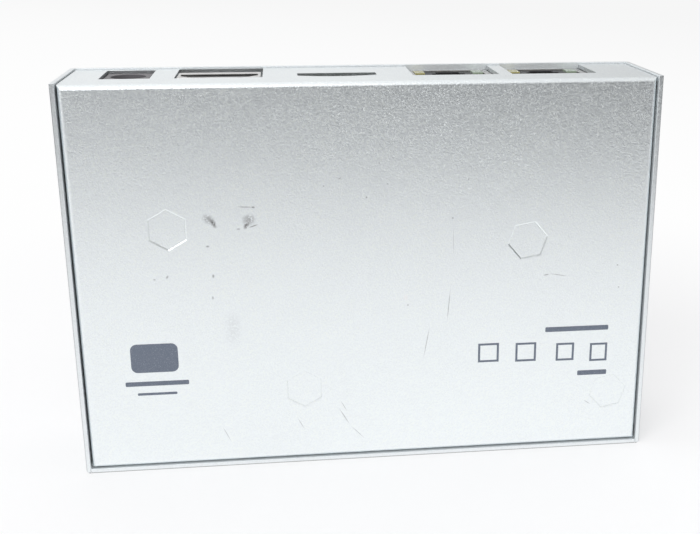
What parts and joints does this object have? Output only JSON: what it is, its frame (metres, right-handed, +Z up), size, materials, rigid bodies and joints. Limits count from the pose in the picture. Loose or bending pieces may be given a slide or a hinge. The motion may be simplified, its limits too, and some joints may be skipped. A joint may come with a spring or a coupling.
{
  "type": "video over cable receiver box",
  "caption": "Flat folded sheet-metal receiver box with a power jack, a type A digital video outlet and shielded modular line jacks on one long narrow wall.",
  "frame": {"origin": "under the middle of the box, in the plane of the front wall that it stands on", "axes": "+X along the port wall, +Y from the bottom plate to the cover, +Z up from the front wall to the port wall"},
  "size_m": [0.1092, 0.022, 0.0742],
  "materials": {
    "case_paint": "fine silver-grey metallic paint, satin",
    "tinned_steel": "tin or nickel plated, satin",
    "screw_steel": "zinc plated",
    "contact_gold": "thin gold plating",
    "jack_black": "moulded black plastic",
    "outlet_black": "moulded black plastic",
    "yellow_window": "clear tinted plastic, unlit",
    "green_window": "clear tinted plastic, unlit",
    "power_lamp": "tinted lamp, unlit",
    "link_lamp": "tinted lamp, unlit",
    "board_green": "solder mask, satin",
    "chip_black": "moulded epoxy",
    "coil_grey": "pressed ferrite",
    "capacitor_tan": "fired ceramic",
    "can_aluminium": "plain",
    "sink_aluminium": "black anodised",
    "pad_grey": "soft silicone"
  },
  "bodies": {
    "case": {"bottom_tray": "case_paint", "top_cover": "case_paint", "board_standoffs": "case_paint", "board_screws": "screw_steel", "cover_screws": "screw_steel", "cover_nuts": "screw_steel", "power_jack_body": "jack_black", "power_jack_pin": "tinned_steel", "power_jack_terminal": "tinned_steel", "video_port_shell": "tinned_steel", "video_port_insulator": "outlet_black", "video_port_contacts": "contact_gold", "line_jack_left_shield": "tinned_steel", "line_jack_left_housing": "jack_black", "line_jack_left_terminals": "contact_gold", "line_jack_left_yellow_window": "yellow_window", "line_jack_left_green_window": "green_window", "line_jack_right_shield": "tinned_steel", "line_jack_right_housing": "jack_black", "line_jack_right_terminals": "contact_gold", "line_jack_right_yellow_window": "yellow_window", "line_jack_right_green_window": "green_window", "receiver_chip": "chip_black", "thermal_pad": "pad_grey", "heat_sink": "sink_aluminium", "video_chip": "chip_black", "controller_chip": "chip_black", "memory_chip": "chip_black", "line_transformer": "chip_black", "converter_chips": "chip_black", "chip_leads": "tinned_steel", "power_inductors": "coil_grey", "capacitor_bases": "chip_black", "capacitor_cans": "can_aluminium", "oscillator": "can_aluminium", "protection_arrays": "chip_black", "ceramic_capacitors": "capacitor_tan", "chip_resistors": "chip_black", "power_indicator": "power_lamp", "link_indicator": "link_lamp", "indicator_holders": "chip_black", "main_board": "board_green"},
    "left_wires": {"line_jack_left_contacts": "contact_gold"},
    "right_wires": {"line_jack_right_contacts": "contact_gold"},
    "power_leaf": {"power_jack_leaf": "contact_gold"}
  },
  "joints": [
    {"name": "left_wires_flex", "type": "hinge", "parent": "case", "child": "left_wires", "pos_m": [0.0173, -0.00235, 0.0709], "axis": [-1, 0, 0], "range_deg": [0, 10], "stiffness_Nm_per_rad": 0.5, "springref_deg": -2.86},
    {"name": "right_wires_flex", "type": "hinge", "parent": "case", "child": "right_wires", "pos_m": [0.036, -0.00235, 0.0709], "axis": [-1, 0, 0], "range_deg": [0, 10], "stiffness_Nm_per_rad": 0.5, "springref_deg": -2.86},
    {"name": "power_leaf_flex", "type": "hinge", "parent": "case", "child": "power_leaf", "pos_m": [-0.043, -0.001, 0.06275], "axis": [1, 0, 0], "range_deg": [0, 5], "stiffness_Nm_per_rad": 0.2, "springref_deg": -1.72}
  ]
}
